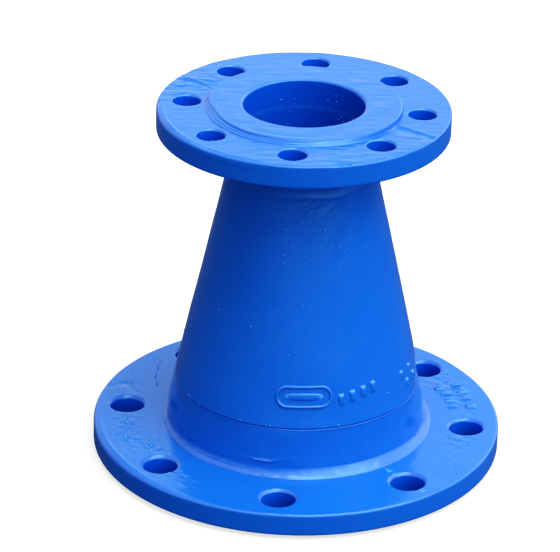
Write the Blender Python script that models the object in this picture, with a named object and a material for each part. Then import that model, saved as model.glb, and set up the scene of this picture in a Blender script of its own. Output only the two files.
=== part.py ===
"""Double-flanged pipe taper, DN150 to DN80: one metal passage that narrows between two bolted flanges.

The taper stands on its large gasket face. The origin is the centre of that face and +Z runs up the
axis to the small gasket face. Both flanges have a bolt hole on the +X axis.
Lengths are written in millimetres and become metres where a mesh is made.
"""

import math

import bmesh
import bpy
from mathutils import Matrix, Vector

MM = 0.001

# Driving dimensions
FACE_TO_FACE = 257.5
WALL = 8.5
GAP = 0.3  # left between pieces that touch
ROUND_STEPS = 72  # flat sides round a turned piece
DRILL_STEPS = 20  # flat sides round a bolt hole
ARC_STEPS = 4  # straight stretches in a rounded corner

LARGE_FLANGE_RADIUS = 142.5
LARGE_RAISED_RADIUS = 105.5
LARGE_BOLT_CIRCLE_RADIUS = 120.0
LARGE_BOLT_HOLE_RADIUS = 11.5
LARGE_BODY_RADIUS = 86.0

SMALL_FLANGE_RADIUS = 100.0
SMALL_RAISED_RADIUS = 66.0
SMALL_BOLT_CIRCLE_RADIUS = 80.0
SMALL_BOLT_HOLE_RADIUS = 9.5
SMALL_BODY_RADIUS = 49.5

FLANGE_THICKNESS = 19.0  # with the raised face
RAISED_FACE_HEIGHT = 3.0
BOLT_COUNT = 8
RIM_ROUNDING = 2.0
HOLE_CHAMFER = 1.5
BORE_CHAMFER = 1.5

SEAM_HEIGHT = 53.4  # the collar ends and the cone starts
NECK_HEIGHT = 217.4  # the cone ends and the straight neck starts
COLLAR_SLOPE = 0.12  # how fast the collar widens towards the large flange
COLLAR_FILLET = 7.5
NECK_FILLET = 6.0
FILLET_FOOT = 0.8  # height left at the thin edge of a fillet

MARK_THICKNESS = 1.4
MARK_COLUMNS = 14
MARK_END_WIDTH = 0.2  # flat left at each round end

# Azimuth in degrees, height or radius of the middle, width and height of each blank mark
FRONT_MARK = (278.7, 76.0, 38.0, 15.0)
ROW_MARK = (307.0, 74.0, 36.0, 9.0)
SIDE_MARK = (343.0, 69.5, 20.0, 12.0)
FLANGE_MARK = (23.0, 119.0, 42.0, 26.0)

# Sizes that follow from them
LARGE_BORE_RADIUS = LARGE_BODY_RADIUS - WALL
SMALL_BORE_RADIUS = SMALL_BODY_RADIUS - WALL
DISC_THICKNESS = FLANGE_THICKNESS - RAISED_FACE_HEIGHT
LARGE_DISC_TOP = FLANGE_THICKNESS
SMALL_DISC_BOTTOM = FACE_TO_FACE - FLANGE_THICKNESS
SMALL_DISC_TOP = FACE_TO_FACE - RAISED_FACE_HEIGHT
CONE_SLOPE = (LARGE_BODY_RADIUS - SMALL_BODY_RADIUS) / (NECK_HEIGHT - SEAM_HEIGHT)

COATING_BLUE = (0.006, 0.118, 0.72, 1.0)
MARK_BLUE = (0.010, 0.145, 0.78, 1.0)


def remove_all_objects():
    """Empties the scene."""
    for old in list(bpy.data.objects):
        bpy.data.objects.remove(old, do_unlink=True)


def coating(name, colour, roughness):
    """A baked epoxy coating on cast iron."""
    material = bpy.data.materials.new(name)
    material.use_nodes = True
    shader = material.node_tree.nodes["Principled BSDF"]
    shader.inputs["Base Color"].default_value = colour
    shader.inputs["Roughness"].default_value = roughness
    shader.inputs["Metallic"].default_value = 0.0
    return material


def add_object(name, bm, material=None):
    """Turns a mesh drawn in millimetres into a smooth-shaded object in metres."""
    bmesh.ops.recalc_face_normals(bm, faces=bm.faces)
    bm.transform(Matrix.Scale(MM, 4))
    mesh = bpy.data.meshes.new(name)
    bm.to_mesh(mesh)
    bm.free()
    mesh.shade_smooth()
    mesh.set_sharp_from_angle(angle=math.radians(30))
    made = bpy.data.objects.new(name, mesh)
    bpy.context.scene.collection.objects.link(made)
    if material:
        made.data.materials.append(material)
    return made


def arc(centre_r, centre_z, radius, start_deg, end_deg):
    """Points of a round stretch of an outline, from one angle to another."""
    points = []
    for step in range(ARC_STEPS + 1):
        angle = math.radians(start_deg + (end_deg - start_deg) * step / ARC_STEPS)
        points.append((centre_r + radius * math.cos(angle), centre_z + radius * math.sin(angle)))
    return points


def turned_piece(name, outline, material):
    """A ring-shaped piece, made by spinning a closed outline of (radius, height) points once round Z."""
    bm = bmesh.new()
    corners = [bm.verts.new((radius, 0.0, height)) for radius, height in outline]
    edges = [bm.edges.new((corners[i - 1], corners[i])) for i in range(len(corners))]
    bmesh.ops.spin(
        bm,
        geom=corners + edges,
        cent=(0.0, 0.0, 0.0),
        axis=(0.0, 0.0, 1.0),
        angle=2 * math.pi,
        steps=ROUND_STEPS,
        use_merge=True,
    )
    return add_object(name, bm, material)


def add_drill(bm, outline, centre):
    """One solid drill shape, stacked from circles of (radius, height) and closed at both ends."""
    rings = []
    for radius, height in outline:
        ring = []
        for step in range(DRILL_STEPS):
            angle = 2 * math.pi * step / DRILL_STEPS
            corner = (centre[0] + radius * math.cos(angle), centre[1] + radius * math.sin(angle), height)
            ring.append(bm.verts.new(corner))
        rings.append(ring)
    for lower, upper in zip(rings, rings[1:]):
        for step in range(DRILL_STEPS):
            after = (step + 1) % DRILL_STEPS
            bm.faces.new((lower[step], lower[after], upper[after], upper[step]))
    bm.faces.new(reversed(rings[0]))
    bm.faces.new(rings[-1])


def bolt_hole_cutter(name, hole_radius, circle_radius, bottom, top):
    """Eight drill shapes with a countersink at each end, for one flange disc."""
    overrun = 2.0
    wide = hole_radius + HOLE_CHAMFER + overrun
    outline = [
        (wide, bottom - overrun),
        (hole_radius, bottom + HOLE_CHAMFER),
        (hole_radius, top - HOLE_CHAMFER),
        (wide, top + overrun),
    ]
    bm = bmesh.new()
    for index in range(BOLT_COUNT):
        angle = 2 * math.pi * index / BOLT_COUNT
        add_drill(bm, outline, (circle_radius * math.cos(angle), circle_radius * math.sin(angle)))
    cutter = add_object(name, bm)
    cutter.hide_render = True
    cutter.display_type = "WIRE"
    return cutter


def cut(piece, cutter):
    """Takes the cutter's shape out of the piece."""
    boolean = piece.modifiers.new("bolt_holes", "BOOLEAN")
    boolean.operation = "DIFFERENCE"
    boolean.solver = "EXACT"
    boolean.object = cutter


def make_large_flange(material):
    """The disc that stands on its raised gasket face."""
    rim = LARGE_FLANGE_RADIUS - RIM_ROUNDING
    outline = [
        (LARGE_BORE_RADIUS, LARGE_DISC_TOP),
        (LARGE_BORE_RADIUS, BORE_CHAMFER),
        (LARGE_BORE_RADIUS + BORE_CHAMFER, 0.0),
        (LARGE_RAISED_RADIUS, 0.0),
        (LARGE_RAISED_RADIUS, RAISED_FACE_HEIGHT),
    ]
    outline += arc(rim, RAISED_FACE_HEIGHT + RIM_ROUNDING, RIM_ROUNDING, -90, 0)
    outline += arc(rim, LARGE_DISC_TOP - RIM_ROUNDING, RIM_ROUNDING, 0, 90)
    flange = turned_piece("large_flange", outline, material)
    cut(
        flange,
        bolt_hole_cutter(
            "large_bolt_hole_cutter",
            LARGE_BOLT_HOLE_RADIUS,
            LARGE_BOLT_CIRCLE_RADIUS,
            RAISED_FACE_HEIGHT,
            LARGE_DISC_TOP,
        ),
    )


def make_large_collar(material):
    """The hub between the large flange and the seam: a slightly widening wall and its foot fillet."""
    bottom = LARGE_DISC_TOP + GAP
    top = SEAM_HEIGHT - GAP / 2
    lean = math.atan(COLLAR_SLOPE)
    fillet_middle = bottom + FILLET_FOOT + COLLAR_FILLET
    fillet_top = fillet_middle - COLLAR_FILLET * math.sin(lean)
    wall_foot = LARGE_BODY_RADIUS + COLLAR_SLOPE * (top - fillet_top)
    foot = wall_foot + COLLAR_FILLET * math.cos(lean)
    outline = [
        (LARGE_BORE_RADIUS, bottom),
        (foot, bottom),
    ]
    outline += arc(foot, fillet_middle, COLLAR_FILLET, 270, 180 + math.degrees(lean))
    outline += [
        (LARGE_BODY_RADIUS, top),
        (LARGE_BORE_RADIUS, top),
    ]
    turned_piece("large_collar", outline, material)


def make_taper_cone(material):
    """The conical shell, with the same wall thickness as the straight ends."""
    bottom = SEAM_HEIGHT + GAP / 2
    top = NECK_HEIGHT - GAP / 2
    outline = [
        (LARGE_BORE_RADIUS, bottom),
        (LARGE_BODY_RADIUS, bottom),
        (SMALL_BODY_RADIUS, top),
        (SMALL_BORE_RADIUS, top),
    ]
    turned_piece("taper_cone", outline, material)


def make_small_neck(material):
    """The short straight hub under the small flange, with its fillet."""
    bottom = NECK_HEIGHT + GAP / 2
    top = SMALL_DISC_BOTTOM - GAP
    head = SMALL_BODY_RADIUS + NECK_FILLET
    outline = [
        (SMALL_BORE_RADIUS, bottom),
        (SMALL_BODY_RADIUS, bottom),
    ]
    outline += arc(head, top - FILLET_FOOT - NECK_FILLET, NECK_FILLET, 180, 90)
    outline += [
        (head, top),
        (SMALL_BORE_RADIUS, top),
    ]
    turned_piece("small_neck", outline, material)


def make_small_flange(material):
    """The upper disc with its raised gasket face on top."""
    rim = SMALL_FLANGE_RADIUS - RIM_ROUNDING
    outline = [(SMALL_BORE_RADIUS, SMALL_DISC_BOTTOM)]
    outline += arc(rim, SMALL_DISC_BOTTOM + RIM_ROUNDING, RIM_ROUNDING, -90, 0)
    outline += arc(rim, SMALL_DISC_TOP - RIM_ROUNDING, RIM_ROUNDING, 0, 90)
    outline += [
        (SMALL_RAISED_RADIUS, SMALL_DISC_TOP),
        (SMALL_RAISED_RADIUS, FACE_TO_FACE),
        (SMALL_BORE_RADIUS + BORE_CHAMFER, FACE_TO_FACE),
        (SMALL_BORE_RADIUS, FACE_TO_FACE - BORE_CHAMFER),
    ]
    flange = turned_piece("small_flange", outline, material)
    cut(
        flange,
        bolt_hole_cutter(
            "small_bolt_hole_cutter",
            SMALL_BOLT_HOLE_RADIUS,
            SMALL_BOLT_CIRCLE_RADIUS,
            SMALL_DISC_BOTTOM,
            SMALL_DISC_TOP,
        ),
    )


def cone_place(azimuth_deg, height):
    """A function that lays (along, up, out) distances on the outside of the cone, round one place."""
    steepness = math.hypot(1.0, CONE_SLOPE)

    def place(along, up, out):
        rise = up / steepness
        radius = LARGE_BODY_RADIUS - CONE_SLOPE * (height - SEAM_HEIGHT)
        angle = math.radians(azimuth_deg) + along / radius
        radius += out * steepness - CONE_SLOPE * rise
        return Vector((radius * math.cos(angle), radius * math.sin(angle), height + rise))

    return place


def flange_place(azimuth_deg, centre_radius):
    """A function that lays distances on top of the large flange in the same way, up meaning inwards."""
    angle = math.radians(azimuth_deg)
    inwards = Vector((-math.cos(angle), -math.sin(angle), 0.0))
    along_rim = Vector((-math.sin(angle), math.cos(angle), 0.0))
    middle = Vector((0.0, 0.0, LARGE_DISC_TOP)) - inwards * centre_radius

    def place(along, up, out):
        return middle + along_rim * along + inwards * up + Vector((0.0, 0.0, out))

    return place


def make_blank_mark(name, place, width, height, material):
    """A low pad with round ends and nothing on it, cast proud of the surface it lies on."""
    end_radius = height / 2
    straight = width / 2 - end_radius
    half_width = (width - MARK_END_WIDTH) / 2
    bm = bmesh.new()
    columns = []
    for column in range(MARK_COLUMNS + 1):
        along = -half_width * math.cos(math.pi * column / MARK_COLUMNS)
        into_end = max(0.0, abs(along) - straight)
        half_height = math.sqrt(end_radius**2 - into_end**2)
        corners = (
            place(along, -half_height, GAP),
            place(along, half_height, GAP),
            place(along, half_height, GAP + MARK_THICKNESS),
            place(along, -half_height, GAP + MARK_THICKNESS),
        )
        columns.append([bm.verts.new(corner) for corner in corners])
    for left, right in zip(columns, columns[1:]):
        for corner in range(4):
            after = (corner + 1) % 4
            bm.faces.new((left[corner], right[corner], right[after], left[after]))
    bm.faces.new(columns[0])
    bm.faces.new(reversed(columns[-1]))
    add_object(name, bm, material)


def make_marks(material):
    """The raised identification pads, left blank."""
    surfaces = {
        "front_mark": (cone_place, FRONT_MARK),
        "row_mark": (cone_place, ROW_MARK),
        "side_mark": (cone_place, SIDE_MARK),
        "flange_mark": (flange_place, FLANGE_MARK),
    }
    for name, (surface, (azimuth_deg, middle, width, height)) in surfaces.items():
        make_blank_mark(name, surface(azimuth_deg, middle), width, height, material)


def build():
    """Makes every piece of the taper."""
    remove_all_objects()
    flange_coating = coating("flange_coating", COATING_BLUE, 0.30)
    body_coating = coating("body_coating", COATING_BLUE, 0.34)
    mark_coating = coating("mark_coating", MARK_BLUE, 0.30)
    make_large_flange(flange_coating)
    make_large_collar(body_coating)
    make_taper_cone(body_coating)
    make_small_neck(body_coating)
    make_small_flange(flange_coating)
    make_marks(mark_coating)


build()
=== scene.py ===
"""Looks of the double-flanged pipe taper: thick blue epoxy over a rough iron casting.

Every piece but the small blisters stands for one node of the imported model, as a dense closed mesh.
Lengths are in millimetres inside the mesh code and become metres where an object is made. The stage and
the camera are laid out in metres.
"""

import math

import bmesh
import bpy
import numpy as np
from mathutils import Matrix, Vector


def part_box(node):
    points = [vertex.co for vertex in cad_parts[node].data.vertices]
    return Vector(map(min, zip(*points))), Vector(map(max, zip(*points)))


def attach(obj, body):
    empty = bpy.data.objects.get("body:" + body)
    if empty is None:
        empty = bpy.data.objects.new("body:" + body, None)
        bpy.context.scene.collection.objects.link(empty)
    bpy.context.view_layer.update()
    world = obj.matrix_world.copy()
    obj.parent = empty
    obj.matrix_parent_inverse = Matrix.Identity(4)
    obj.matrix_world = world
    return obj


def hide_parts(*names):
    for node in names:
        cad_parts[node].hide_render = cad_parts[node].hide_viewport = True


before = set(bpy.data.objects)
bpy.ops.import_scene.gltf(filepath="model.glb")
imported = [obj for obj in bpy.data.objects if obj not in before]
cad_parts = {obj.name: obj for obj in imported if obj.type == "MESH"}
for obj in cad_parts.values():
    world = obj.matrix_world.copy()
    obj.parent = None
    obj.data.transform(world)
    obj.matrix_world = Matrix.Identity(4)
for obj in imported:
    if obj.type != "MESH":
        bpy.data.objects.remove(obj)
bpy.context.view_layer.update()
MM = 0.001
BODY = "root"

# Sizes read from the frame
FACE_TO_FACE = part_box("small_flange")[1].z / MM
LARGE_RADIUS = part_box("large_flange")[1].x / MM
LARGE_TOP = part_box("large_flange")[1].z / MM
SMALL_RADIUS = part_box("small_flange")[1].x / MM
SMALL_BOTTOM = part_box("small_flange")[0].z / MM
BODY_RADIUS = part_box("taper_cone")[1].x / MM
SEAM_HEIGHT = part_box("taper_cone")[0].z / MM
NECK_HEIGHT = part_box("taper_cone")[1].z / MM
NECK_HEAD_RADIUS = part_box("small_neck")[1].x / MM

# Design sizes of the fitting that a box does not show
WALL = 8.5
RAISED_FACE = 3.0
SEAM_GROOVE = 0.7
NECK_FILLET = 6.0
COLLAR_SLOPE = 0.12
COLLAR_FILLET = 7.5
BOLT_COUNT = 8
LARGE_BORE = BODY_RADIUS - WALL
NECK_RADIUS = NECK_HEAD_RADIUS - NECK_FILLET
SMALL_BORE = NECK_RADIUS - WALL
SMALL_TOP = FACE_TO_FACE - RAISED_FACE
SECTOR = 2 * math.pi / BOLT_COUNT
CONE_SLOPE = (BODY_RADIUS - NECK_RADIUS) / (NECK_HEIGHT - SEAM_HEIGHT)
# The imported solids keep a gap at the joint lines. Here the cone meets its neighbours in mid-gap, and
# the collar's foot is sunk into the flange.
HALF_JOINT = 0.15
FOOT_SUNK = 0.3

# Mesh making
WELD_DISTANCE = 0.001
SHARP_EDGE_DEG = 50
BODY_COLUMNS = 720
NECK_COLUMNS = 400


# ---------------- fields and curves


def wave_field(points, size, seed, waves=20):
    """A smooth random field, mostly -1 to 1, whose waves are about `size` long."""
    dice = np.random.default_rng(seed)
    directions = dice.normal(size=(waves, points.shape[-1]))
    directions /= np.linalg.norm(directions, axis=1, keepdims=True)
    pace = 2 * math.pi / size * dice.uniform(0.6, 1.4, waves)
    phase = dice.uniform(0, 2 * math.pi, waves)
    total = np.zeros(points.shape[:-1])
    for direction, speed, start in zip(directions, pace, phase):
        total += np.cos(points @ direction * speed + start)
    return total / math.sqrt(2 * waves)


def smooth_step(value, start, end):
    """0 before start, 1 after end, and a smooth rise between."""
    share = np.clip((value - start) / (end - start), 0.0, 1.0)
    return share * share * (3 - 2 * share)


def bell(value, middle, width):
    """1 at the middle, fading to 0 over about the width."""
    return np.exp(-(((value - middle) / width) ** 2))


def turn_gap(azimuth, middle_deg):
    """Angle from a place on the circle, in degrees, between -180 and 180."""
    return (np.degrees(azimuth) - middle_deg + 180) % 360 - 180


def toward(azimuth, middle_deg, wide_deg):
    """1 at the middle azimuth, fading to 0 over about the width on both sides."""
    return bell(turn_gap(azimuth, middle_deg), 0.0, wide_deg)


def spot_at(azimuth_deg, radius):
    """The (x, y) place at an azimuth and a distance from the axis."""
    azimuth = math.radians(azimuth_deg)
    return np.array([radius * math.cos(azimuth), radius * math.sin(azimuth)])


def fold(points, start, end, wide):
    """1 along a line between two (azimuth, radius) places, fading to 0 over about the width."""
    first = spot_at(*start)
    way = spot_at(*end) - first
    share = np.clip(((points - first) @ way) / (way @ way), 0.0, 1.0)
    gap = np.linalg.norm(points - first - share[..., None] * way, axis=-1)
    return bell(gap, 0.0, wide)


def quarter(steps):
    """The (sine, cosine) pairs of a quarter turn in equal steps."""
    angles = np.linspace(0, math.pi / 2, steps + 1)
    return list(zip(np.sin(angles), np.cos(angles)))


# ---------------- mesh making


class Skin:
    """Collects grids of points, in millimetres, and welds them into one closed mesh."""

    def __init__(self):
        self.points = []
        self.quads = []
        self.count = 0

    def add_grid(self, points, wrap_rows=False, wrap_columns=False):
        """Adds a (rows, columns, 3) grid of points, joined end to end where it wraps."""
        rows, columns = points.shape[:2]
        index = self.count + np.arange(rows * columns).reshape(rows, columns)
        if wrap_rows:
            index = np.concatenate([index, index[:1]], axis=0)
        if wrap_columns:
            index = np.concatenate([index, index[:, :1]], axis=1)
        corners = (index[:-1, :-1], index[:-1, 1:], index[1:, 1:], index[1:, :-1])
        self.points.append(points.reshape(-1, 3))
        self.quads.append(np.stack(corners, axis=-1).reshape(-1, 4))
        self.count += rows * columns

    def finish(self, name, node, material):
        """Makes the object, which rides on the body and stands for a node if one is named."""
        mesh = bpy.data.meshes.new(name)
        points = np.concatenate(self.points) * MM
        mesh.from_pydata(points.tolist(), [], np.concatenate(self.quads).tolist())
        bm = bmesh.new()
        bm.from_mesh(mesh)
        bmesh.ops.remove_doubles(bm, verts=bm.verts, dist=WELD_DISTANCE * MM)
        bmesh.ops.recalc_face_normals(bm, faces=bm.faces)
        bm.to_mesh(mesh)
        bm.free()
        mesh.shade_smooth()
        mesh.set_sharp_from_angle(angle=math.radians(SHARP_EDGE_DEG))
        mesh.materials.append(material)
        piece = bpy.data.objects.new(name, mesh)
        bpy.context.scene.collection.objects.link(piece)
        if node:
            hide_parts(node)
        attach(piece, BODY)


def polar_points(radius, azimuth, height):
    """Points from radius, azimuth and height arrays of one shape."""
    radius, azimuth, height = np.broadcast_arrays(radius, azimuth, height)
    return np.stack([radius * np.cos(azimuth), radius * np.sin(azimuth), height], axis=-1)


def full_turn(columns):
    """Equal azimuths once round."""
    return np.arange(columns) * (2 * math.pi / columns)


def ring_points(azimuth, radius):
    """The (x, y) points at the azimuths, on a circle or at a radius of their own."""
    return np.stack([radius * np.cos(azimuth), radius * np.sin(azimuth)], axis=-1)


def outline_grid(outline, azimuth):
    """Radius and height arrays: a row for each outline point, a column for each azimuth."""
    radius = np.stack([row[0] + 0 * azimuth for row in outline])
    height = np.stack([row[1] + 0 * azimuth for row in outline])
    return radius, height


# ---------------- flanges


class Flange:
    """One disc with bolt holes, built as eight sheets round the holes, a rim and a middle."""

    inner_steps = 48
    outer_steps = 64
    side_steps = 24
    top_rows = 20
    bottom_rows = 5
    arc_rows = 5
    rim_flat_rows = 9
    rim_arc_rows = 8
    side_rows = 10
    rim_margin = 6.0
    bottom_rounding = 1.5
    # How unevenly the holes' mouths are rounded, and the azimuth on which they are broadest
    mouth_bias = 0.35
    mouth_broad_deg = 55.0
    # Shares of the mouth's width and depth, from the flat face down to the hole wall
    mouth_profile = ((0.1, 0.02), (0.2, 0.08), (0.5, 0.32), (0.8, 0.58), (0.93, 0.76), (1.0, 1.0))

    def __init__(self, radius, top, bottom, circle, hole, mouth, inner_top, inner_bottom):
        self.radius = radius
        self.top = top
        self.bottom = bottom
        self.circle = circle
        self.hole = hole
        self.mouth = mouth
        self.inner_top = inner_top
        self.inner_bottom = inner_bottom
        self.outer = radius - self.rim_margin

    def relief(self, points):
        """Height of the brushed-out coating above the flat disc, at (x, y) points."""
        raise NotImplementedError

    def rim_rounding(self, azimuth):
        """Radius of the rounded upper edge."""
        raise NotImplementedError

    def rim_bulge(self, azimuth, height):
        """How far coating that ran over the edge stands out of the disc's side."""
        return 0.0 * azimuth

    def sector_outline(self, inner_radius):
        """The closed outline of one sheet, from its inner arc round to its other side."""
        half = SECTOR / 2
        inner = np.linspace(-half, half, self.inner_steps + 1)[:-1]
        rising = np.linspace(inner_radius, self.outer, self.side_steps + 1)[:-1]
        outer = np.linspace(half, -half, self.outer_steps + 1)[:-1]
        falling = np.linspace(self.outer, inner_radius, self.side_steps + 1)[:-1]
        azimuth = np.concatenate([inner, half + 0 * rising, outer, -half + 0 * falling])
        radius = np.concatenate([inner_radius + 0 * inner, rising, self.outer + 0 * outer, falling])
        return ring_points(azimuth, radius)

    def add_sheet(self, skin, number):
        """One eighth of the disc: top face, hole wall and bottom face, in rings round the bolt hole."""
        centre = np.array([self.circle, 0.0])
        upper = self.sector_outline(self.inner_top) - centre
        lower = self.sector_outline(self.inner_bottom) - centre
        upper_reach = np.linalg.norm(upper, axis=1)
        lower_reach = np.linalg.norm(lower, axis=1)
        upper_way = upper / upper_reach[:, None]
        lower_way = lower / lower_reach[:, None]
        bearing = np.arctan2(upper_way[:, 1], upper_way[:, 0])
        turn = number * SECTOR
        from_broadest = bearing + turn - math.radians(self.mouth_broad_deg)
        mouth = self.mouth * (1 + self.mouth_bias * np.cos(from_broadest))
        rows, heights, weights = [], [], []
        for share in np.linspace(1, 0, self.top_rows):
            reach = self.hole + mouth
            rows.append(upper_way * (reach + (upper_reach - reach) * share)[:, None])
            heights.append(np.full(len(upper), self.top))
            weights.append(1.0)
        for inward, down in self.mouth_profile:
            rows.append(upper_way * (self.hole + mouth * (1 - inward))[:, None])
            heights.append(self.top - mouth * down)
            weights.append(1 - down)
        rounding = self.bottom_rounding
        for sine, cosine in quarter(self.arc_rows)[:-1]:
            rows.append(lower_way * (self.hole + rounding * (1 - cosine)))
            heights.append(np.full(len(lower), self.bottom + rounding * (1 - sine)))
            weights.append(0.0)
        for share in np.linspace(0, 1, self.bottom_rows):
            reach = self.hole + rounding
            rows.append(lower_way * (reach + (lower_reach - reach) * share)[:, None])
            heights.append(np.full(len(lower), self.bottom))
            weights.append(0.0)
        flat = np.stack(rows) + centre
        spun = np.stack(
            [
                flat[..., 0] * math.cos(turn) - flat[..., 1] * math.sin(turn),
                flat[..., 0] * math.sin(turn) + flat[..., 1] * math.cos(turn),
            ],
            axis=-1,
        )
        height = np.stack(heights) + self.relief(spun) * np.array(weights)[:, None]
        skin.add_grid(np.concatenate([spun, height[..., None]], axis=-1), wrap_columns=True)

    def add_rim(self, skin):
        """The outer edge, from the top face round to the bottom face."""
        azimuth = full_turn(self.outer_steps * BOLT_COUNT)
        upper = self.rim_rounding(azimuth)
        lower = self.bottom_rounding
        radius, height, weights = [], [], []
        for share in np.linspace(0, 1, self.rim_flat_rows)[:-1]:
            radius.append(self.outer + (self.radius - upper - self.outer) * share)
            height.append(np.full_like(azimuth, self.top))
            weights.append(1.0)
        for sine, cosine in quarter(self.rim_arc_rows):
            radius.append(self.radius - upper + upper * sine)
            height.append(self.top - upper + upper * cosine)
            weights.append(cosine)
        side_top, side_bottom = self.top - upper, self.bottom + lower
        for share in np.linspace(0, 1, self.side_rows)[1:-1]:
            side_height = side_top + (side_bottom - side_top) * share
            radius.append(self.radius + self.rim_bulge(azimuth, side_height))
            height.append(side_height)
            weights.append(0.0)
        for sine, cosine in quarter(self.arc_rows):
            radius.append(self.radius - lower + lower * cosine + 0 * azimuth)
            height.append(self.bottom + lower - lower * sine + 0 * azimuth)
            weights.append(0.0)
        radius.append(np.full_like(azimuth, self.outer))
        height.append(np.full_like(azimuth, self.bottom))
        weights.append(0.0)
        points = polar_points(np.stack(radius), azimuth, np.stack(height))
        points[..., 2] += self.relief(points[..., :2]) * np.array(weights)[:, None]
        skin.add_grid(points, wrap_columns=True)

    def face_outline(self, azimuth):
        """Rows of (radius, height) from the sheets' top, through the bore, to their bottom."""
        raise NotImplementedError

    def add_middle(self, skin):
        """The part inside the sheets, with the raised face and the bore."""
        azimuth = full_turn(self.inner_steps * BOLT_COUNT)
        radius, height = outline_grid(self.face_outline(azimuth), azimuth)
        points = polar_points(radius, azimuth, height)
        points[0, :, 2] += self.relief(points[0, :, :2])
        skin.add_grid(points, wrap_columns=True)

    def make(self, name, material):
        """The whole flange as one closed skin."""
        skin = Skin()
        for number in range(BOLT_COUNT):
            self.add_sheet(skin, number)
        self.add_rim(skin)
        self.add_middle(skin)
        skin.finish(name + "_casting", name, material)


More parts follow.
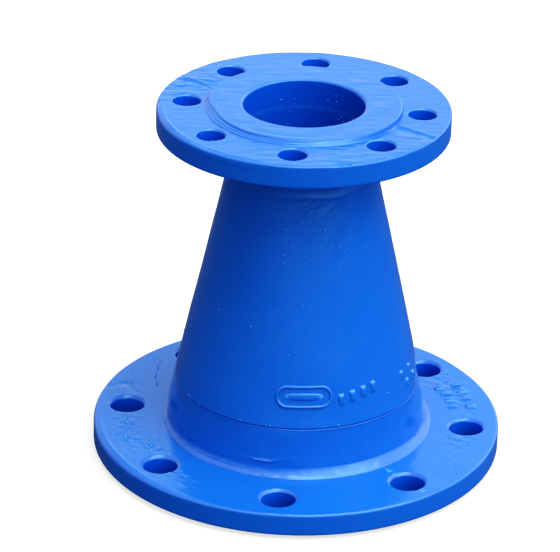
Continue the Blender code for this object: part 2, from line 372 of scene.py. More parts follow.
class SmallFlange(Flange):
    """The upper flange: wrinkled on the left, folded on the right, its raised face worn in front."""

    sheet_foot = 68.2
    raised_radius = 66.3
    face_rows = 28
    step_softness = 0.07
    # Steps worn into the front of the raised face: share of the way up its slope, share of its height
    terraces = ((0.10, 0.30), (0.45, 0.20), (0.86, 0.50))
    # Folds in the coating: (azimuth, radius) of both ends, height and width
    folds = (
        ((342.8, 66.0), (337.8, 98.0), 0.55, 1.1),
        ((338.0, 69.0), (335.8, 96.5), -0.60, 3.6),
        ((328.0, 70.5), (333.2, 92.0), 0.40, 1.3),
        ((157.0, 94.5), (158.0, 81.0), -0.75, 1.5),
        ((158.0, 81.0), (161.7, 68.5), -0.75, 1.5),
        ((155.2, 94.0), (156.0, 80.0), 0.45, 1.2),
        ((154.0, 84.4), (151.8, 72.6), -0.40, 1.1),
        ((168.2, 95.3), (163.9, 88.0), -0.35, 1.0),
        ((174.7, 91.0), (170.3, 83.7), 0.35, 0.9),
        ((188.9, 96.4), (189.6, 90.0), -0.30, 0.9),
        ((146.0, 92.0), (149.0, 76.0), -0.25, 1.2),
        ((80.0, 69.5), (52.0, 62.0), 0.20, 0.8),
    )

    def relief(self, points):
        """Folds, brush strokes and a dimple, with scallops, a groove and a bead along the rim."""
        azimuth = np.arctan2(points[..., 1], points[..., 0])
        radius = np.linalg.norm(points, axis=-1)
        height = 0.12 * wave_field(points, 34.0, 11) + 0.03 * wave_field(points, 9.0, 12)
        for start, end, tall, wide in self.folds:
            height += tall * fold(points, start, end, wide)
        strokes = wave_field(points * np.array([0.3, 1.0]), 7.5, 13)
        fine_strokes = wave_field(points * np.array([0.35, 1.0]), 4.0, 14)
        left = toward(azimuth, 160.0, 22.0)
        height += (0.28 * strokes + 0.14 * fine_strokes) * left
        height += 0.17 * strokes * toward(azimuth, 285.0, 45.0)
        height += 0.06 * strokes
        scallops = np.abs(wave_field(points, 7.0, 19)) * toward(azimuth, 294.0, 12.0)
        height -= 1.0 * scallops * bell(radius, 98.5, 2.0)
        rim_groove = bell(radius, 97.0, 0.7) * toward(azimuth, 246.0, 15.0)
        height -= 0.6 * rim_groove
        dimple = bell(np.linalg.norm(points - spot_at(333.0, 75.0), axis=-1), 0.0, 6.0)
        height -= 0.5 * dimple
        rim_bead = bell(radius, 95.8, 1.0) * toward(azimuth, 207.0, 26.0)
        height += 0.45 * rim_bead
        return height * smooth_step(radius, self.raised_radius, self.raised_radius + 2.5)

    def rim_rounding(self, azimuth):
        """Broad at the left front, where the coating ran over the edge."""
        ring = ring_points(azimuth, self.radius)
        broad = 2.0 * toward(azimuth, 205.0, 22.0)
        return 1.4 + broad + 0.3 * wave_field(ring, 42.0, 15) ** 2

    def rim_bulge(self, azimuth, height):
        """A lip of coating that ran over the front left of the edge."""
        return 0.4 * bell(height, self.top - 2.8, 1.2) * toward(azimuth, 244.0, 15.0)

    def face_outline(self, azimuth):
        """Rows from the sheets over the raised face, through the bore, to the underside."""
        ring = ring_points(azimuth, self.raised_radius)
        worn = 4.9 * toward(azimuth, 205.0, 24.0) + 4.6 * toward(azimuth, 256.0, 36.0)
        top_edge = self.raised_radius - worn + 0.3 * wave_field(ring, 30.0, 16)
        foot = np.minimum(self.sheet_foot - 0.2, top_edge + 1.2 + worn)
        terraced = 0.85 * toward(azimuth, 234.0, 46.0)
        rows = [(self.sheet_foot, self.top)]
        soft = self.step_softness
        for share in np.linspace(0, 1, self.face_rows):
            stepped = sum(
                rise * smooth_step(share, place - soft, place + soft) for place, rise in self.terraces
            )
            smooth = 0.6 * share + 0.4 * smooth_step(share, 0.0, 1.0)
            rise = terraced * stepped + (1 - terraced) * smooth
            rows.append((foot + (top_edge - foot) * share, self.top + RAISED_FACE * rise))
        rounding = 1.2 + 1.6 * np.cos(azimuth - math.radians(5.0)) ** 2
        bore_edge = SMALL_BORE + rounding
        front = toward(azimuth, 262.0, 30.0)
        right = toward(azimuth, 352.0, 30.0)
        for share in np.linspace(0, 1, 22)[1:]:
            radius = top_edge + (bore_edge - top_edge) * share
            places = ring_points(azimuth, radius)
            strokes = wave_field(places * np.array([0.35, 1.0]), 8.0, 18)
            waviness = 0.20 * wave_field(places, 24.0, 17) + 0.13 * strokes
            groove = 0.35 * front * bell(radius, 57.5, 0.9)
            lip = 0.30 * right * bell(radius, top_edge - 1.3, 0.9)
            rows.append((radius, FACE_TO_FACE + waviness * math.sin(math.pi * share) - groove + lip))
        for sine, cosine in quarter(7)[1:]:
            drop = np.minimum(rounding, 2.6) * (1 - cosine)
            rows.append((bore_edge - rounding * sine, FACE_TO_FACE - drop))
        for height in np.linspace(self.top, self.bottom, 10):
            rows.append((SMALL_BORE, height))
        for radius in np.linspace(SMALL_BORE, self.inner_bottom, 6)[1:]:
            rows.append((radius, self.bottom))
        return rows


class LargeFlange(Flange):
    """The lower flange: smooth in front, blistered on the left, with its gasket face underneath."""

    raised_radius = 105.5
    raised_rounding = 0.8
    bore_rounding = 2.0
    mouth_broad_deg = 120.0
    # Blistered patches: azimuth and radius of the middle, width in degrees and height
    patches = (
        (196.0, 122.0, 8.0, 0.50),
        (213.0, 114.0, 7.0, 0.50),
        (239.0, 124.0, 8.0, 0.25),
        (347.0, 118.0, 10.0, 0.35),
        (25.0, 119.0, 13.0, 0.75),
    )

    def relief(self, points):
        """A slow waviness, with brush marks, a bent furrow, blistered patches and a bead at the rim."""
        radius = np.linalg.norm(points, axis=-1)
        azimuth = np.arctan2(points[..., 1], points[..., 0])
        height = 0.12 * wave_field(points, 46.0, 21) + 0.05 * wave_field(points, 11.0, 22)
        strokes = 1 - np.abs(wave_field(points * np.array([0.3, 1.0]), 9.0, 23))
        height += 0.08 * toward(azimuth, 185.0, 40.0) * strokes
        height -= 0.4 * fold(points, (171.0, 143.0), (166.0, 129.0), 2.6)
        height -= 0.4 * fold(points, (166.0, 129.0), (171.0, 118.0), 2.4)
        lumps = wave_field(points * np.array([0.6, 1.0]), 5.5, 25)
        for middle_deg, distance, wide_deg, tall in self.patches:
            patch = toward(azimuth, middle_deg, wide_deg) * bell(radius, distance, 11.0)
            height += tall * patch * lumps
        bead = 0.5 * bell(radius, 137.8, 1.1) * toward(azimuth, 208.0, 26.0)
        return (height + bead) * smooth_step(radius, self.inner_top, self.inner_top + 4.0)

    def rim_rounding(self, azimuth):
        """Broad at the left front, tight elsewhere."""
        ring = ring_points(azimuth, self.radius)
        broad = toward(azimuth, 208.0, 26.0)
        return 2.0 + 2.0 * broad + 0.3 * wave_field(ring, 55.0, 24) ** 2

    def face_outline(self, azimuth):
        """Rows from the top face in to the bore and out along the raised gasket face underneath."""
        inner, outer = self.bore_rounding, self.raised_rounding
        rows = []
        for radius in np.linspace(self.inner_top, LARGE_BORE, 8):
            rows.append((radius, self.top))
        for height in np.linspace(self.top, inner, 5)[1:]:
            rows.append((LARGE_BORE, height))
        for sine, cosine in quarter(4)[1:]:
            rows.append((LARGE_BORE + inner * (1 - cosine), inner * (1 - sine)))
        for radius in np.linspace(LARGE_BORE + inner, self.raised_radius - outer, 7)[1:]:
            rows.append((radius, 0.0))
        for sine, cosine in quarter(3)[1:]:
            rows.append((self.raised_radius - outer + outer * sine, outer * (1 - cosine)))
        rows.append((self.raised_radius, RAISED_FACE))
        rows.append((self.inner_bottom, RAISED_FACE))
        return rows


def make_flanges(upper_material, lower_material):
    """Both flanges."""
    small = SmallFlange(
        SMALL_RADIUS,
        SMALL_TOP,
        SMALL_BOTTOM,
        circle=80.0,
        hole=9.5,
        mouth=1.1,
        inner_top=SmallFlange.sheet_foot,
        inner_bottom=66.0,
    )
    small.make("small_flange", upper_material)
    large = LargeFlange(
        LARGE_RADIUS,
        LARGE_TOP,
        RAISED_FACE,
        circle=120.0,
        hole=11.6,
        mouth=1.9,
        inner_top=102.0,
        inner_bottom=LargeFlange.raised_radius + 0.9,
    )
    large.make("large_flange", lower_material)


# ---------------- turned body pieces


def resample(outline, spacing):
    """Points along a polyline of (radius, height), no further apart than the spacing."""
    rows = []
    for start, end in zip(outline, outline[1:]):
        steps = max(1, math.ceil(math.dist(start, end) / spacing))
        for step in range(steps):
            share = step / steps
            radius = start[0] + (end[0] - start[0]) * share
            rows.append((radius, start[1] + (end[1] - start[1]) * share))
    rows.append(outline[-1])
    return rows


def turned_skin(name, outside, inside, columns, relief, material):
    """A ring-shaped piece from the outlines of its outside and inside.

    The relief turns the outside's points and their radius, height and azimuth into a new radius.
    """
    azimuth = full_turn(columns)
    radius, height = outline_grid(outside, azimuth)
    points = polar_points(radius, azimuth, height)
    outer = polar_points(relief(points, radius, height, azimuth + 0 * radius), azimuth, height)
    radius, height = outline_grid(inside, azimuth)
    inner = polar_points(radius, azimuth, height)
    skin = Skin()
    skin.add_grid(np.concatenate([outer, inner]), wrap_rows=True, wrap_columns=True)
    skin.finish(name + "_casting", name, material)


def mould_drift(azimuth, height):
    """How far the casting strays from round: flatter at the right of the seam, fuller at the left."""
    flat = toward(azimuth, 8.0, 24.0) * bell(height, 56.0, 13.0)
    full = toward(azimuth, 186.0, 32.0) * bell(height, 33.0, 12.0)
    return 1.3 * full - 1.5 * flat


def make_cone(material):
    """The conical shell, cut in at its foot by the seam groove."""
    seam = SEAM_HEIGHT - HALF_JOINT
    top = NECK_HEIGHT + HALF_JOINT
    outline = [
        (BODY_RADIUS - SEAM_GROOVE, seam),
        (BODY_RADIUS - 0.4, seam + 0.25),
        (BODY_RADIUS - CONE_SLOPE * 0.9, seam + 0.9),
        (BODY_RADIUS - CONE_SLOPE * 3.0, seam + 3.0),
        (NECK_RADIUS + CONE_SLOPE * 3.0, top - 3.0),
        (NECK_RADIUS + 0.5, top - 0.9),
        (NECK_RADIUS, top),
    ]
    outside = resample(outline[:4], 0.35)
    outside += resample(outline[3:5], 1.2)[1:]
    outside += resample(outline[4:], 0.5)[1:]
    inside = resample([(SMALL_BORE, top), (LARGE_BORE, seam)], 9.0)

    def relief(points, radius, height, azimuth):
        middle = smooth_step(height, seam + 2, seam + 8) * (1 - smooth_step(height, top - 6, top - 2))
        wobble = 0.16 * wave_field(points, 60.0, 31) + 0.05 * wave_field(points, 16.0, 32)
        bead_height = 209.8 + 0.5 * np.cos(azimuth * 9.0)
        bead = 0.5 * bell(height, bead_height, 0.9) * toward(azimuth, 285.0, 26.0)
        patch = bell(height, 202.5, 3.5) * toward(azimuth, 284.0, 13.0)
        rough = 0.25 * patch * wave_field(points, 2.6, 33)
        return radius + middle * wobble + bead + rough + mould_drift(azimuth, height)

    turned_skin("taper_cone", outside, inside, BODY_COLUMNS, relief, material)


def make_collar(material):
    """The hub below the seam: a slightly widening wall whose foot fillet ends at a crisp step."""
    step_slope = math.radians(62.0)
    top = SEAM_HEIGHT - HALF_JOINT
    bottom = LARGE_TOP - FOOT_SUNK
    lean = math.atan(COLLAR_SLOPE)
    fillet_top = LARGE_TOP + COLLAR_FILLET * (1 - math.sin(lean))
    wall_foot = BODY_RADIUS + COLLAR_SLOPE * (top - fillet_top)
    foot = wall_foot + COLLAR_FILLET * math.cos(lean)
    step_radius = foot - COLLAR_FILLET * math.cos(step_slope)
    step_height = LARGE_TOP + COLLAR_FILLET * (1 - math.sin(step_slope))
    outside = resample([(step_radius + 0.9, bottom), (step_radius + 0.6, step_height - 0.45)], 0.25)
    outside.append((step_radius + 0.35, step_height - 0.2))
    for share in np.linspace(0, 1, 26):
        slope = step_slope + (lean - step_slope) * share
        radius = foot - COLLAR_FILLET * math.cos(slope)
        outside.append((radius, LARGE_TOP + COLLAR_FILLET * (1 - math.sin(slope))))
    outside += resample([(wall_foot, fillet_top + 0.5), (BODY_RADIUS, top - 0.7)], 1.2)
    outside += resample([(BODY_RADIUS - 0.1, top - 0.4), (BODY_RADIUS - SEAM_GROOVE, top)], 0.35)
    inside = resample([(LARGE_BORE, top), (LARGE_BORE, bottom)], 8.0)

    def relief(points, radius, height, azimuth):
        spread = smooth_step(fillet_top - height, 0.0, fillet_top - step_height)
        drift = 1.2 * np.cos(azimuth) + 0.6 * toward(azimuth, 222.0, 25.0)
        ragged = 0.25 * wave_field(points, 9.0, 43) + 0.35 * wave_field(points, 40.0, 44)
        fillet_rise = fillet_top - step_height
        chord = wall_foot + (fillet_top - height) * (step_radius - wall_foot) / fillet_rise
        within = (height < fillet_top) & (height > step_height)
        filled = 0.85 * toward(azimuth, 306.0, 24.0) * within * np.maximum(0.0, chord - radius)
        crease = 0.45 * bell(height, step_height + 1.4, 0.5) * toward(azimuth, 238.0, 17.0)
        wobble = 0.18 * wave_field(points, 55.0, 41) + 0.05 * wave_field(points, 14.0, 42)
        wobble *= (1 - spread) * (1 - smooth_step(height, top - 3.0, top - 0.5))
        run_height = 29.6 + 0.35 * np.maximum(0.0, turn_gap(azimuth, 262.0) / 3.0) ** 1.5
        run = 0.9 * bell(height, run_height, 0.7) * toward(azimuth, 262.0, 9.0)
        off = spread * (drift + ragged) + filled - crease + wobble + run
        return radius + off + mould_drift(azimuth, height)

    turned_skin("large_collar", outside, inside, BODY_COLUMNS, relief, material)


def make_neck(material):
    """The short straight hub that flares into the underside of the small flange."""
    bottom = NECK_HEIGHT + HALF_JOINT
    head = SMALL_BOTTOM
    outside = resample([(NECK_RADIUS, bottom), (NECK_RADIUS, head - 6.5)], 1.3)
    for sine, cosine in quarter(10)[1:]:
        outside.append((NECK_RADIUS + NECK_FILLET * (1 - cosine), head - 6.4 + NECK_FILLET * sine))
    outside.append((NECK_HEAD_RADIUS, head))
    inside = resample([(SMALL_BORE, head), (SMALL_BORE, bottom)], 5.0)

    def relief(points, radius, height, azimuth):
        wobble = 0.10 * wave_field(points, 30.0, 51) + 0.04 * wave_field(points, 8.0, 52)
        return radius + wobble * smooth_step(height, bottom + 0.5, bottom + 3.0)

    turned_skin("small_neck", outside, inside, NECK_COLUMNS, relief, material)


# ---------------- raised marks and coating nodules


def body_place(azimuth_deg, height):
    """A function that lays (along, up, out) distances on the outside of the cone or the collar."""
    slope = CONE_SLOPE if height > SEAM_HEIGHT else 0.0
    radius_here = BODY_RADIUS - slope * max(0.0, height - SEAM_HEIGHT)
    steepness = math.hypot(1.0, slope)

    def place(along, up, out):
        angle = math.radians(azimuth_deg) + along / radius_here
        radius = radius_here + out * steepness - slope * up / steepness
        return radius * math.cos(angle), radius * math.sin(angle), height + up / steepness

    return place


def level_place(azimuth_deg, radius, height):
    """A function that lays (along, up, out) distances on a flat upper face, up being inwards."""
    angle = math.radians(azimuth_deg)

    def place(along, up, out):
        reach = radius - up
        x = reach * math.cos(angle) - along * math.sin(angle)
        y = reach * math.sin(angle) + along * math.cos(angle)
        return x, y, height + out

    return place


def bore_place(azimuth_deg, height):
    """A function that lays (along, up, out) distances on the small bore's wall, out being inwards."""

    def place(along, up, out):
        angle = math.radians(azimuth_deg) + along / SMALL_BORE
        radius = SMALL_BORE - out
        return radius * math.cos(angle), radius * math.sin(angle), height + up

    return place


def add_spot(
    skin, place, half_width, half_height, tall, tilt_deg=0.0, squareness=2.0, sunk=0.5, rings=5, sides=14
):
    """A small closed dome that stands out of a surface: round at squareness 2, boxier above it."""
    tilt = math.radians(tilt_deg)
    grid = []
    for ring in range(rings + 2):
        share = min(1.0, ring / rings)
        out = tall * math.sqrt(1 - share**3) if ring <= rings else -sunk
        row = []
        for side in range(sides):
            angle = 2 * math.pi * side / sides
            cosine, sine = math.cos(angle), math.sin(angle)
            x = half_width * share * math.copysign(abs(cosine) ** (2 / squareness), cosine)
            y = half_height * share * math.copysign(abs(sine) ** (2 / squareness), sine)
            along = x * math.cos(tilt) - y * math.sin(tilt)
            up = x * math.sin(tilt) + y * math.cos(tilt)
            row.append(place(along, up, out))
        grid.append(row)
    grid.append([place(0.0, 0.0, -sunk)] * sides)
    skin.add_grid(np.array(grid), wrap_columns=True)


def add_ring(skin, place, half_width, half_height, band, tall, sunk=0.6):
    """A raised blank oval border, half round in section."""
    straight = half_width - half_height
    path = []
    for side, start in ((1, -math.pi / 2), (-1, math.pi / 2)):
        end = start + math.pi
        path += [(side * straight, angle) for angle in np.linspace(start, end, 17)]
        path += [(side * shift, end) for shift in np.linspace(straight, -straight, 13)[1:-1]]
    section = [(band * math.cos(turn), tall * math.sin(turn)) for turn in np.linspace(0, math.pi, 8)]
    section += [(-band, -sunk), (band, -sunk)]
    grid = []
    for sideways, out in section:
        row = []
        for shift, angle in path:
            reach = half_height + sideways
            row.append(place(shift + reach * math.cos(angle), reach * math.sin(angle), out))
        grid.append(row)
    skin.add_grid(np.array(grid), wrap_rows=True, wrap_columns=True)


def make_front_mark(material):
    """A blank oval border round a low blank pad, on the front of the cone."""
    skin = Skin()
    place = body_place(278.7, 76.0)
    add_ring(skin, place, half_width=18.5, half_height=7.0, band=1.0, tall=1.1)
    add_spot(skin, place, 13.0, 2.6, 0.8, squareness=3.0, sides=32)
    skin.finish("front_mark_oval", "front_mark", material)


def make_row_mark(material):
    """A row of plain bars and a dot beside the oval."""
    skin = Skin()
    for number in range(4):
        place = body_place(297.0 + 6.0 * number, 72.5 + 1.2 * number)
        add_spot(skin, place, 2.3, 4.2, 1.5, tilt_deg=4.0, squareness=5.0, sides=20)
    add_spot(skin, body_place(324.0, 67.0), 1.0, 1.0, 0.9)
    skin.finish("row_mark_studs", "row_mark", material)


def make_side_mark(material):
    """Plain studs on the side of the cone."""
    skin = Skin()
    for number in range(4):
        place = body_place(336.5 + 4.4 * number, 69.5 + 4.0 * (-1) ** number)
        add_spot(skin, place, 2.0, 3.2, 1.2, squareness=5.0, sides=20, sunk=2.0)
    skin.finish("side_mark_studs", "side_mark", material)


def make_flange_mark(material):
    """Two rows of plain bars, narrow and wide in turn, on the large flange."""
    skin = Skin()
    for row in range(2):
        for number in range(4):
            place = level_place(22.0 + (number - 1.5) * 5.0, 112.5 + 13.0 * row, LARGE_TOP)
            width = 1.4 + 1.2 * ((row + number) % 2)
            add_spot(skin, place, width, 3.9, 1.7, squareness=5.0, sides=20)
    skin.finish("flange_mark_studs", "flange_mark", material)


# Rows of small dots on the large flange, each from one (azimuth, radius) place to another
DOT_ROWS = (((155.0, 136.0), (166.5, 124.0)), ((147.5, 125.6), (163.0, 107.8)))
# Middles of the dot clusters on the large flange, as (azimuth, radius)
DOT_CLUSTERS = ((196.0, 121.0), (212.0, 112.0), (205.0, 124.0))
# Single drips on the collar, as (azimuth, height)
COLLAR_DRIPS = ((219.4, 40.2), (222.2, 31.5), (203.0, 37.5), (238.0, 38.0), (246.0, 31.0))


def make_nodules(material):
    """Small blisters and drips of coating, scattered where the real casting has them."""
    dice = np.random.default_rng(77)
    skin = Skin()

    def blister(place, largest=1.0, plump=0.55):
        size = largest * dice.uniform(0.45, 1.0)
        tilt = dice.uniform(0, 90)
        across = size * dice.uniform(0.7, 1.3)
        add_spot(skin, place, size, across, plump * size, tilt, sides=9, rings=4)

    for (first_deg, first_radius), (last_deg, last_radius) in DOT_ROWS:
        for share in np.linspace(0, 1, 9):
            azimuth = first_deg + (last_deg - first_deg) * share + dice.normal(0, 0.3)
            radius = first_radius + (last_radius - first_radius) * share + dice.normal(0, 0.7)
            blister(level_place(azimuth, radius, LARGE_TOP), 0.95, 0.9)
    for middle_deg, radius in DOT_CLUSTERS:
        for _ in range(14):
            place = level_place(dice.normal(middle_deg, 2.4), dice.normal(radius, 3.5), LARGE_TOP)
            blister(place, 1.3, 0.9)
    for _ in range(16):
        blister(level_place(dice.uniform(330, 352), dice.uniform(104, 132), LARGE_TOP), 0.9, 0.9)
    for azimuth, height in COLLAR_DRIPS:
        blister(body_place(azimuth, height), 1.9, 0.4)
    for _ in range(14):
        blister(body_place(dice.uniform(205, 300), SEAM_HEIGHT + dice.choice([-1.6, 1.4])), 0.8)
    for _ in range(16):
        blister(body_place(dice.normal(288, 12), dice.normal(176, 7)), 0.9)
    for _ in range(24):
        blister(body_place(dice.uniform(0, 360), dice.uniform(62, 208)), 0.8)
    for _ in range(26):
        blister(body_place(dice.normal(284, 9), dice.normal(205, 3.5)), 0.8)
    for _ in range(22):
        blister(bore_place(dice.uniform(20, 130), dice.uniform(222, 252)), 0.8, 0.4)
    for _ in range(12):
        blister(level_place(dice.uniform(140, 240), dice.uniform(72, 96), SMALL_TOP), 0.5)
    skin.finish("coating_nodules", None, material)


# ---------------- materials


class Graph:
    """Adds nodes to a node tree, with their inputs given by value or by another node's output."""

    def __init__(self, tree):
        self.tree = tree
        tree.nodes.clear()

    def add(self, kind, inputs=None, **settings):
        """One node of a kind, with its settings and its inputs."""
        made = self.tree.nodes.new(kind)
        for name, value in settings.items():
            setattr(made, name, value)
        for name, value in (inputs or {}).items():
            if isinstance(value, bpy.types.NodeSocket):
                self.tree.links.new(value, made.inputs[name])
            else:
                made.inputs[name].default_value = value
        return made

    def maths(self, operation, first, second=0.0, third=0.0):
        """The result of one maths step."""
        inputs = {0: first, 1: second, 2: third}
        return self.add("ShaderNodeMath", inputs, operation=operation).outputs[0]

    def vector_maths(self, operation, first, second=(0, 0, 0)):
        """The node of one vector maths step."""
        return self.add("ShaderNodeVectorMath", {0: first, 1: second}, operation=operation)

    def spread(self, value, low, high, start=0.0, end=1.0):
        """The value moved from the range low to high onto start to end, with smooth ends."""
        node = self.add(
            "ShaderNodeMapRange",
            {"Value": value, "From Min": low, "From Max": high, "To Min": start, "To Max": end},
            interpolation_type="SMOOTHSTEP",
        )
        return node.outputs["Result"]

    def noise(self, vector, scale, detail=2.0, roughness=0.5):
        """A noise value from 0 to 1."""
        inputs = {"Vector": vector, "Scale": scale, "Detail": detail, "Roughness": roughness}
        return self.add("ShaderNodeTexNoise", inputs).outputs["Fac"]

    def mix(self, factor, first, second):
        """A colour between two colours."""
        node = self.add("ShaderNodeMix", {"Factor": factor}, data_type="RGBA")
        for place, colour in ((6, first), (7, second)):
            if isinstance(colour, bpy.types.NodeSocket):
                self.tree.links.new(colour, node.inputs[place])
            else:
                node.inputs[place].default_value = colour
        return node.outputs[2]

    def bump(self, height, strength, distance, normal=None):
        """A bump of a height field, on top of another normal."""
        inputs = {"Height": height, "Strength": strength, "Distance": distance}
        if normal:
            inputs["Normal"] = normal
        return self.add("ShaderNodeBump", inputs).outputs["Normal"]


# Colours of the coating
SIDE_BLUE = (0.012, 0.124, 0.56, 1)
# Painted light: the tone of faces lit from above, mixed in by how far a face turns up
TOP_LIT_BLUE = (0.011, 0.128, 0.55, 1)
MOTTLE_BLUE = (0.010, 0.140, 0.58, 1)
# Painted highlight: paler, whiter blue on sloping faces such as fillets and shoulders
SLOPE_HIGHLIGHT_BLUE = (0.14, 0.20, 0.58, 1)
# Painted highlight: pale blue on sharp convex edges
EDGE_HIGHLIGHT_BLUE = (0.08, 0.34, 0.76, 1)
# Painted shade: darker blue on the walls of the bolt holes and the bore
INSIDE_SHADE_BLUE = (0.001, 0.076, 0.52, 1)
# Dark joint line at the seam, with painted shade under the cone's lip
SEAM_SHADE_BLUE = (0.0, 0.058, 0.40, 1)
SPECK_BLUE = (0.001, 0.045, 0.33, 1)
REFLECTION_TINT = (0.40, 0.85, 0.95, 1.0)
# How far inside a flange's rim, and outside the small bore, the painted shade of the inside stops
SHADE_INSIDE_RIM = 5.0
SHADE_OUTSIDE_BORE = 3.0
# Fineness of the brush streaks, which run along X, and the turn that picks their part of the noise
STREAK_SCALE = (40.0, 420.0, 60.0)
STREAK_TURN_DEG = 28


def painted_seam_shade(graph, place):
    """How much of the seam's dark colour a place takes: a dark joint line, with painted shade under the
    cone's lip that fades down the collar.
    """
    height = graph.add("ShaderNodeSeparateXYZ", {0: place}).outputs["Z"]
    above = graph.spread(height, (SEAM_HEIGHT + 0.2) * MM, (SEAM_HEIGHT + 1.0) * MM, 1.0, 0.0)
    below = graph.spread(height, (SEAM_HEIGHT - 2.6) * MM, (SEAM_HEIGHT - 0.6) * MM, 0.0, 0.6)
    return graph.maths("MULTIPLY", above, below)


def painted_inside_shade(graph, place, normal_z, inside_radius):
    """How much painted shade a place takes: on walls within the radius, as in the holes."""
    reach = graph.vector_maths("MULTIPLY", place, (1, 1, 0)).outputs["Vector"]
    reach = graph.vector_maths("LENGTH", reach).outputs["Value"]
    within = graph.maths("LESS_THAN", reach, inside_radius * MM)
    sideways = graph.spread(graph.maths("ABSOLUTE", normal_z), 0.2, 0.6, 0.75, 0.0)
    return graph.maths("MULTIPLY", within, sideways)


def coating_colour(graph, place, inside_radius, seam_shade_line):
    """Deep blue with painted light: a lit tone on upward faces, highlights on slopes and sharp edges, shade
    inside and under the seam's lip at its dark joint line; and small dark specks.
    """
    geometry = graph.add("ShaderNodeNewGeometry")
    normal_z = graph.add("ShaderNodeSeparateXYZ", {0: geometry.outputs["Normal"]}).outputs["Z"]
    # Painted light from above: upward faces take the lit tone, with some random clouding
    facing_up = graph.spread(normal_z, 0.35, 0.98)
    cloud = graph.noise(place, 14.0, 3.0)
    top_light_share = graph.maths("MULTIPLY_ADD", facing_up, 0.72, graph.maths("MULTIPLY", cloud, 0.22))
    colour = graph.mix(top_light_share, SIDE_BLUE, TOP_LIT_BLUE)
    mottle = graph.noise(place, 150.0, 3.0, 0.6)
    colour = graph.mix(graph.spread(mottle, 0.35, 0.75, 0.0, 0.2), colour, MOTTLE_BLUE)
    # Painted highlight on faces that slope between steep and level
    not_level = graph.spread(normal_z, 0.85, 0.98, 1.0, 0.0)
    slope_highlight = graph.maths("MULTIPLY", graph.spread(normal_z, 0.3, 0.6), not_level)
    colour = graph.mix(graph.maths("MULTIPLY", slope_highlight, 0.35), colour, SLOPE_HIGHLIGHT_BLUE)
    # Painted highlight on sharp edges, found by the mesh's pointiness
    edge = graph.spread(geometry.outputs["Pointiness"], 0.52, 0.60, 0.0, 0.65)
    colour = graph.mix(edge, colour, EDGE_HIGHLIGHT_BLUE)
    # Painted shade inside the bolt holes and the bore
    colour = graph.mix(painted_inside_shade(graph, place, normal_z, inside_radius), colour, INSIDE_SHADE_BLUE)
    # Dark joint line, with painted shade under the cone's lip
    if seam_shade_line:
        colour = graph.mix(painted_seam_shade(graph, place), colour, SEAM_SHADE_BLUE)
    speck = graph.spread(graph.noise(place, 520.0, 1.0), 0.70, 0.76, 0.0, 0.5)
    return graph.mix(speck, colour, SPECK_BLUE)


def coating_normal(graph, place, streaks):
    """Orange peel with a finer grain, and brush streaks in patches where they are asked for."""
    normal = graph.bump(graph.noise(place, 260.0, 2.0), 0.06, 0.0003)
    normal = graph.bump(graph.noise(place, 900.0, 2.0), 0.05, 0.0001, normal)
    if streaks:
        stretched = graph.add(
            "ShaderNodeMapping",
            {"Vector": place, "Rotation": (0.0, 0.0, math.radians(STREAK_TURN_DEG)), "Scale": STREAK_SCALE},
        ).outputs[0]
        patches = graph.spread(graph.noise(place, 22.0, 2.0), 0.45, 0.62)
        brushed = graph.maths("MULTIPLY", graph.noise(stretched, 1.0, 3.0), patches)
        normal = graph.bump(brushed, 0.18, 0.0006, normal)
    return normal


def coating_material(name, inside_radius, streaks=False, seam_shade_line=False):
    """Thick glossy blue epoxy over a rough casting."""
    material = bpy.data.materials.new(name)
    material.use_nodes = True
    graph = Graph(material.node_tree)
    place = graph.add("ShaderNodeTexCoord").outputs["Object"]
    shader = graph.add(
        "ShaderNodeBsdfPrincipled",
        {
            "Base Color": coating_colour(graph, place, inside_radius, seam_shade_line),
            "Roughness": graph.spread(graph.noise(place, 75.0, 3.0), 0.3, 0.7, 0.13, 0.24),
            "Metallic": 0.0,
            "Specular Tint": REFLECTION_TINT,
            "Normal": coating_normal(graph, place, streaks),
        },
    )
    graph.add("ShaderNodeOutputMaterial", {"Surface": shader.outputs[0]})
    return material


# ---------------- stage, light and camera

# Where the camera stands: azimuth round +Z from +X, and height above the horizon
CAMERA_AZIMUTH_DEG = 275.0
CAMERA_ELEVATION_DEG = 25.63
CAMERA_ROLL_DEG = 1.53
CAMERA_DISTANCE = 2.369
CAMERA_LENS = 220.4
CAMERA_SENSOR = 36.0
CAMERA_NEAR = 0.1
CAMERA_FAR = 50.0
CAMERA_TARGET_HEIGHT = 0.1303
AIM_RIGHT = -0.01365
AIM_UP = -0.0021
WHITE = (1, 1, 1, 1)
FLOOR_SIZE = 14.0
FLOOR_DROP = 0.0002
FLOOR_SEEN_COLOUR = (0.93, 0.93, 0.94, 1)
FLOOR_BOUNCE_COLOUR = (0.07, 0.09, 0.15, 1)
FLOOR_GLOW_SHARE = 0.6


def direction_of(azimuth_deg, elevation_deg):
    """The direction at an azimuth and a height above the horizon."""
    azimuth, elevation = math.radians(azimuth_deg), math.radians(elevation_deg)
    level = math.cos(elevation)
    return Vector((math.cos(azimuth) * level, math.sin(azimuth) * level, math.sin(elevation)))


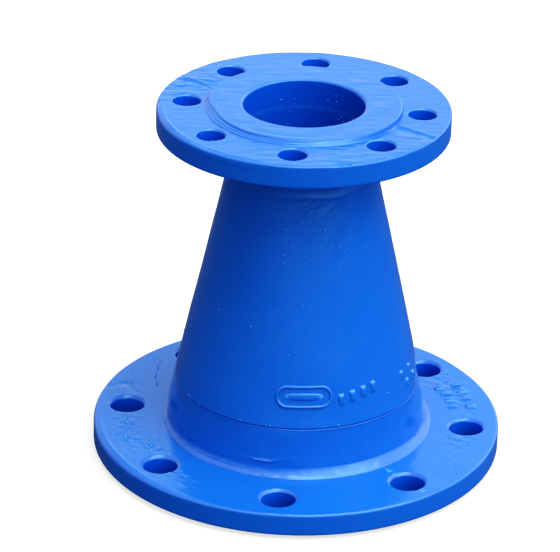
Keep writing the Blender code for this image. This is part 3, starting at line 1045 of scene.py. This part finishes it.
def make_camera():
    """A long lens, rolled slightly, aimed a little beside the fitting's middle."""
    azimuth = math.radians(CAMERA_AZIMUTH_DEG)
    back = direction_of(CAMERA_AZIMUTH_DEG, CAMERA_ELEVATION_DEG)
    level_right = Vector((-math.sin(azimuth), math.cos(azimuth), 0.0))
    level_up = back.cross(level_right)
    roll = math.radians(CAMERA_ROLL_DEG)
    right = level_right * math.cos(roll) + level_up * math.sin(roll)
    up = level_up * math.cos(roll) - level_right * math.sin(roll)
    target = Vector((0.0, 0.0, CAMERA_TARGET_HEIGHT))
    place = target + back * CAMERA_DISTANCE
    aim = target + right * AIM_RIGHT + up * AIM_UP
    back = (place - aim).normalized()
    right = (right - back * right.dot(back)).normalized()
    up = back.cross(right)
    camera = bpy.data.objects.new("camera", bpy.data.cameras.new("camera"))
    bpy.context.scene.collection.objects.link(camera)
    camera.data.sensor_width = CAMERA_SENSOR
    camera.data.lens = CAMERA_LENS
    camera.data.clip_start = CAMERA_NEAR
    camera.data.clip_end = CAMERA_FAR
    turn = Matrix((right, up, back)).transposed().to_4x4()
    camera.matrix_world = Matrix.Translation(place) @ turn
    bpy.context.scene.camera = camera


def make_floor():
    """A plain pale floor, which looks white but sends little light back up."""
    bm = bmesh.new()
    bmesh.ops.create_grid(bm, x_segments=1, y_segments=1, size=FLOOR_SIZE / 2)
    mesh = bpy.data.meshes.new("floor")
    bm.to_mesh(mesh)
    bm.free()
    floor = bpy.data.objects.new("floor", mesh)
    floor.location.z = -FLOOR_DROP
    bpy.context.scene.collection.objects.link(floor)
    material = bpy.data.materials.new("pale_floor")
    material.use_nodes = True
    graph = Graph(material.node_tree)
    seen = graph.add("ShaderNodeLightPath").outputs["Is Camera Ray"]
    colour = graph.mix(seen, FLOOR_BOUNCE_COLOUR, FLOOR_SEEN_COLOUR)
    matt = graph.add("ShaderNodeBsdfDiffuse", {"Color": colour})
    glow = graph.add("ShaderNodeEmission", {"Color": WHITE, "Strength": 1.0})
    glow_share = graph.maths("MULTIPLY", seen, FLOOR_GLOW_SHARE)
    shader = graph.add("ShaderNodeMixShader", {0: glow_share, 1: matt.outputs[0], 2: glow.outputs[0]})
    graph.add("ShaderNodeOutputMaterial", {"Surface": shader.outputs[0]})
    mesh.materials.append(material)


# Soft lights in the sky: name, turn to the right from straight behind the fitting as the camera sees
# it, height above the horizon, radius of the full core, radius of the faded edge (all in degrees) and
# strength
SKY_LIGHTS = (
    ("low_behind_left", -40, 12, 6, 28, 0.35),
    ("low_behind", 0, 22, 8, 35, 0.82),
    ("low_behind_right", 45, 25, 8, 35, 0.88),
    ("high_behind", 0, 60, 8, 35, 0.30),
    ("right", 90, 30, 10, 50, 0.75),
    ("high_right", 98, 62, 8, 28, 1.5),
    ("front_right", 135, 30, 10, 45, 1.05),
    ("front", 180, 30, 10, 45, 0.45),
    ("front_left", 225, 30, 10, 45, 0.15),
    ("high_front", 180, 62, 8, 30, 0.75),
    ("bright_gap_overhead", 163, 78, 7, 19, 6.5),
    ("middle_front_right", 150, 53, 6, 20, 1.8),
    ("middle_right", 118, 48, 6, 20, 3.4),
)
SKY_EVEN_STRENGTH = 0.35

# The contrast curve, the values at which it is set, and its place among the view's four curves
TONE_STEEPNESS = 1.5
TONE_MIDDLE = 0.8
TONE_SAMPLES = (0.01, 0.03, 0.07, 0.14, 0.25, 0.4, 0.6, 0.8)
COMBINED_CURVE = 3


def make_sky():
    """A dim even sky with soft lights in it, brightest overhead and weakest on the left."""
    world = bpy.data.worlds.new("soft_sky")
    world.use_nodes = True
    bpy.context.scene.world = world
    graph = Graph(world.node_tree)
    direction = graph.add("ShaderNodeTexCoord").outputs["Generated"]
    strength = SKY_EVEN_STRENGTH
    for _, turn_deg, height_deg, core_deg, edge_deg, power in SKY_LIGHTS:
        axis = direction_of(CAMERA_AZIMUTH_DEG - 180.0 - turn_deg, height_deg)
        closeness = graph.vector_maths("DOT_PRODUCT", direction, axis).outputs["Value"]
        edge, core = math.cos(math.radians(edge_deg)), math.cos(math.radians(core_deg))
        strength = graph.maths("ADD", graph.spread(closeness, edge, core, 0.0, power), strength)
    seen = graph.add("ShaderNodeLightPath").outputs["Is Camera Ray"]
    light = graph.add("ShaderNodeBackground", {"Color": WHITE, "Strength": strength})
    backdrop = graph.add("ShaderNodeBackground", {"Color": WHITE, "Strength": 1.0})
    both = graph.add("ShaderNodeMixShader", {0: seen, 1: light.outputs[0], 2: backdrop.outputs[0]})
    graph.add("ShaderNodeOutputWorld", {"Surface": both.outputs[0]})


def camera_tone(value):
    """A camera's contrast curve: deeper shadows, highlights that roll off, and white kept white."""
    bend = TONE_MIDDLE**TONE_STEEPNESS
    raised = value**TONE_STEEPNESS
    return raised / (raised + bend) * (1 + bend)


def set_tone():
    """Gives the scene's view the camera's contrast curve."""
    view = bpy.context.scene.view_settings
    view.view_transform = "Standard"
    view.use_curve_mapping = True
    curve = view.curve_mapping.curves[COMBINED_CURVE]
    for value in TONE_SAMPLES:
        curve.points.new(value, camera_tone(value))
    view.curve_mapping.update()


def main():
    """Builds every piece, then the stage."""
    upper = coating_material("upper_flange_epoxy", SMALL_RADIUS - SHADE_INSIDE_RIM, streaks=True)
    lower = coating_material("lower_flange_epoxy", LARGE_RADIUS - SHADE_INSIDE_RIM, streaks=True)
    smooth = coating_material("smooth_blue_epoxy", SMALL_BORE + SHADE_OUTSIDE_BORE, seam_shade_line=True)
    make_flanges(upper, lower)
    make_cone(smooth)
    make_collar(smooth)
    make_neck(smooth)
    make_front_mark(smooth)
    make_row_mark(smooth)
    make_side_mark(smooth)
    make_flange_mark(smooth)
    make_nodules(smooth)
    make_floor()
    make_sky()
    make_camera()
    set_tone()


main()
